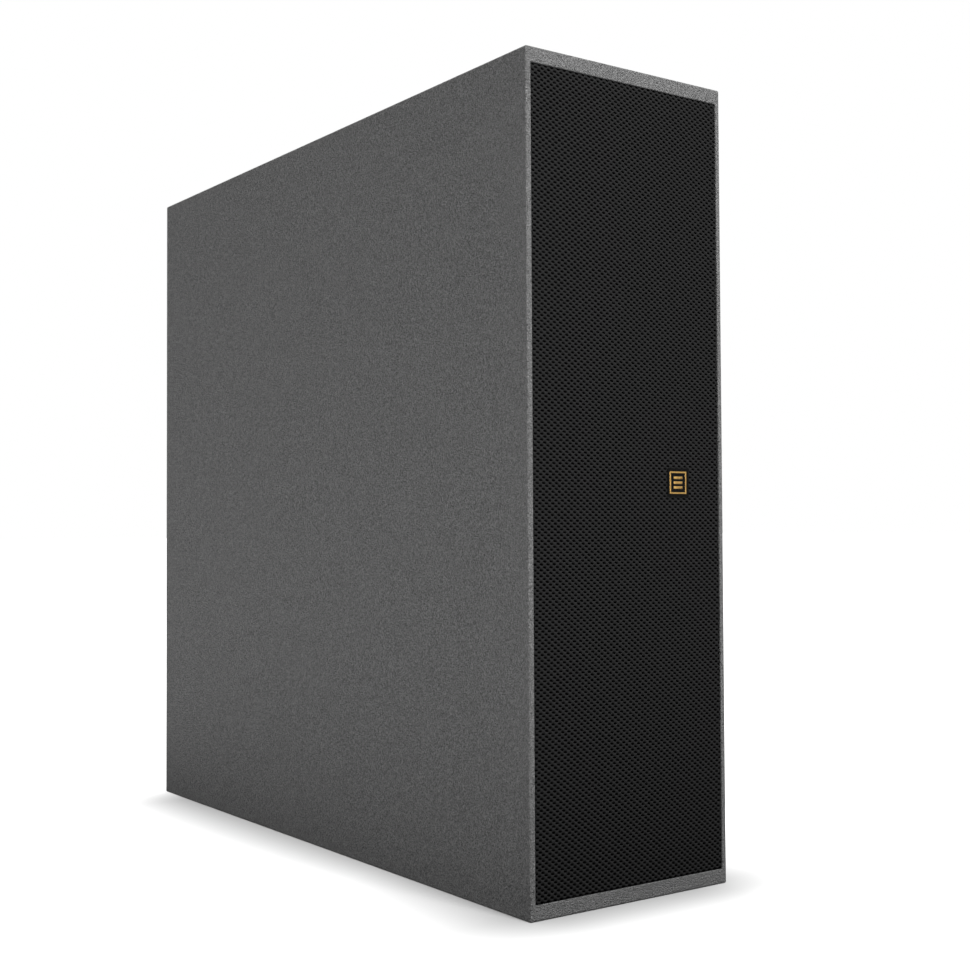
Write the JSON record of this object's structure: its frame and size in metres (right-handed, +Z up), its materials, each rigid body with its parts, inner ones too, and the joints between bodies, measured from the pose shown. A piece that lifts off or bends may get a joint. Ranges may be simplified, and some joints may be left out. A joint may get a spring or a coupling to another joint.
{
  "type": "line array speaker",
  "caption": "Slim, deep rectangular passive loudspeaker cabinet, standing on its end, with a full-height pull-off fabric grille, a turning square badge and rear connectors.",
  "frame": {"origin": "centre of the base, on the surface that the cabinet stands on", "axes": "+Z up along the grille, -Y out of the grille, +Y out of the rear panel, +X to the right of someone who faces the rear from the front, which is the badge's side"},
  "size_m": [0.201, 0.662, 0.65],
  "materials": {
    "cabinet_paint": "fine textured dark grey paint over birch plywood",
    "black_wood": "matt black stain",
    "birch_plywood": "bare sanded plywood",
    "acoustic_fabric": "black three-dimensional spacer mesh",
    "black_steel": "black powder coat",
    "zinc_steel": "zinc plated",
    "gold_badge": "satin gold",
    "cone_paper": "black pressed paper",
    "rubber": "matt black rubber",
    "cast_alloy": "black coated casting",
    "ferrite": "ground ferrite",
    "spider_cloth": "resin-dipped weave",
    "copper": "enamelled winding",
    "black_plastic": "moulded",
    "orange_plastic": "moulded",
    "circuit_board": "solder mask",
    "grey_foam": "open-cell foam"
  },
  "bodies": {
    "cabinet": {"left_side_panel": "cabinet_paint", "right_side_panel": "cabinet_paint", "top_panel": "cabinet_paint", "bottom_panel": "cabinet_paint", "back_panel": "cabinet_paint", "front_baffle": "black_wood", "window_brace": "birch_plywood", "upper_port_duct": "black_wood", "lower_port_duct": "black_wood", "left_lining": "grey_foam", "right_lining": "grey_foam", "lf_upper_basket": "cast_alloy", "lf_upper_top_plate": "zinc_steel", "lf_upper_magnet": "ferrite", "lf_upper_yoke": "zinc_steel", "lf_lower_basket": "cast_alloy", "lf_lower_top_plate": "zinc_steel", "lf_lower_magnet": "ferrite", "lf_lower_yoke": "zinc_steel", "hf_horn": "black_plastic", "hf_waveguide": "black_plastic", "hf_front_plate": "zinc_steel", "hf_magnet": "ferrite", "hf_rear_plate": "zinc_steel", "hf_phase_plug": "black_plastic", "hf_rear_cover": "black_plastic", "crossover_board": "circuit_board", "crossover_coil": "copper", "input_cable": "rubber", "lf_upper_cable": "rubber", "lf_lower_cable": "rubber", "hf_cable": "rubber", "connector_plate": "black_steel", "input_socket": "black_plastic", "link_socket": "black_plastic", "terminal_block": "black_plastic", "rear_insert_1": "zinc_steel", "rear_insert_2": "zinc_steel", "rear_insert_3": "zinc_steel", "rear_insert_4": "zinc_steel"},
    "grille": {"grille_fabric": "acoustic_fabric", "grille_panel": "black_steel"},
    "badge": {"badge": "gold_badge", "badge_washer": "zinc_steel"},
    "lf_upper_moving": {"lf_upper_cone": "cone_paper", "lf_upper_dust_cap": "cone_paper", "lf_upper_voice_coil": "copper", "lf_upper_surround": "rubber", "lf_upper_spider": "spider_cloth"},
    "lf_lower_moving": {"lf_lower_cone": "cone_paper", "lf_lower_dust_cap": "cone_paper", "lf_lower_voice_coil": "copper", "lf_lower_surround": "rubber", "lf_lower_spider": "spider_cloth"},
    "hf_moving": {"hf_diaphragm": "copper"},
    "button_1": {"terminal_button_1": "orange_plastic"},
    "button_2": {"terminal_button_2": "orange_plastic"},
    "button_3": {"terminal_button_3": "orange_plastic"},
    "button_4": {"terminal_button_4": "orange_plastic"}
  },
  "joints": [
    {"name": "grille_pull", "type": "slide", "parent": "cabinet", "child": "grille", "axis": [0, -1, 0], "range_m": [0, 0.12]},
    {"name": "badge_turn", "type": "hinge", "parent": "grille", "child": "badge", "pos_m": [0.0506, -0.329, 0.3251], "axis": [0, -1, 0], "continuous": true},
    {"name": "lf_upper_excursion", "type": "slide", "parent": "cabinet", "child": "lf_upper_moving", "axis": [0, -1, 0], "range_m": [-0.006, 0.006], "stiffness_N_per_m": 2500, "deforming": ["lf_upper_surround", "lf_upper_spider"]},
    {"name": "lf_lower_excursion", "type": "slide", "parent": "cabinet", "child": "lf_lower_moving", "axis": [0, -1, 0], "range_m": [-0.006, 0.006], "stiffness_N_per_m": 2500, "deforming": ["lf_lower_surround", "lf_lower_spider"]},
    {"name": "hf_diaphragm_excursion", "type": "slide", "parent": "cabinet", "child": "hf_moving", "axis": [0, -1, 0], "range_m": [-0.0003, 0.0003], "stiffness_N_per_m": 20000},
    {"name": "button_1_press", "type": "slide", "parent": "cabinet", "child": "button_1", "axis": [0, -1, 0], "range_m": [0, 0.002], "stiffness_N_per_m": 2500, "springref_m": -0.001},
    {"name": "button_2_press", "type": "slide", "parent": "cabinet", "child": "button_2", "axis": [0, -1, 0], "range_m": [0, 0.002], "stiffness_N_per_m": 2500, "springref_m": -0.001},
    {"name": "button_3_press", "type": "slide", "parent": "cabinet", "child": "button_3", "axis": [0, -1, 0], "range_m": [0, 0.002], "stiffness_N_per_m": 2500, "springref_m": -0.001},
    {"name": "button_4_press", "type": "slide", "parent": "cabinet", "child": "button_4", "axis": [0, -1, 0], "range_m": [0, 0.002], "stiffness_N_per_m": 2500, "springref_m": -0.001}
  ]
}
